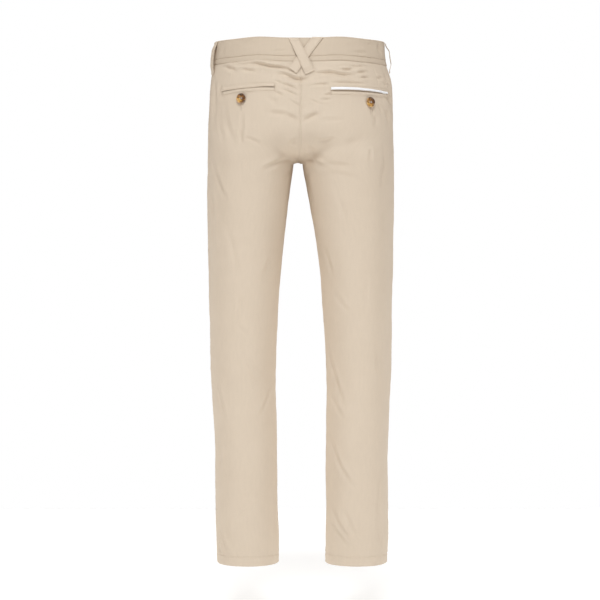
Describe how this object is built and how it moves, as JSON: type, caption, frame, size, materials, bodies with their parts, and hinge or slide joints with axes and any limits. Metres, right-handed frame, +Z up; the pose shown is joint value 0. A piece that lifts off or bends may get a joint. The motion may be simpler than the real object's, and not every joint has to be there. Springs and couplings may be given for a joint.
{
  "type": "casual trousers",
  "caption": "Straight casual trousers, filled out as when worn, with crossed belt loops at the centre back, welt pockets with horn buttons and a fly front; covers the waist, hips and legs.",
  "frame": {"origin": "centre of the waistband ring, half way up the band, where the wearer's waist holds it", "axes": "+Z up along the legs, front facing -Y, +X towards the wearer's left"},
  "size_m": [0.3717, 0.2565, 1.0412],
  "materials": {
    "beige_twill": "smooth cotton twill",
    "pocketing_cotton": "plain cotton",
    "white_cotton": "white cotton",
    "brown_horn": "polished horn",
    "aged_brass": "aged brass"
  },
  "bodies": {
    "root": {"back_left": "beige_twill", "back_right": "beige_twill", "front_left": "beige_twill", "front_right": "beige_twill", "side_piece_left": "beige_twill", "side_piece_right": "beige_twill", "waistband": "beige_twill", "waist_strip": "beige_twill", "loop_cross_under": "beige_twill", "loop_cross_upper": "beige_twill", "loop_side_left": "beige_twill", "loop_side_right": "beige_twill", "loop_front_left": "beige_twill", "loop_front_right": "beige_twill", "back_welt_upper_left": "beige_twill", "back_welt_lower_left": "beige_twill", "back_welt_lower_right": "beige_twill", "zip_tape": "beige_twill", "fly_shield": "beige_twill", "back_bag_left": "pocketing_cotton", "back_bag_right": "pocketing_cotton", "front_bag_left": "pocketing_cotton", "front_bag_right": "pocketing_cotton", "back_welt_upper_right": "white_cotton", "button_back_left": "brown_horn", "button_back_right": "brown_horn", "button_waist": "brown_horn", "zip_slider": "aged_brass"}
  },
  "joints": []
}
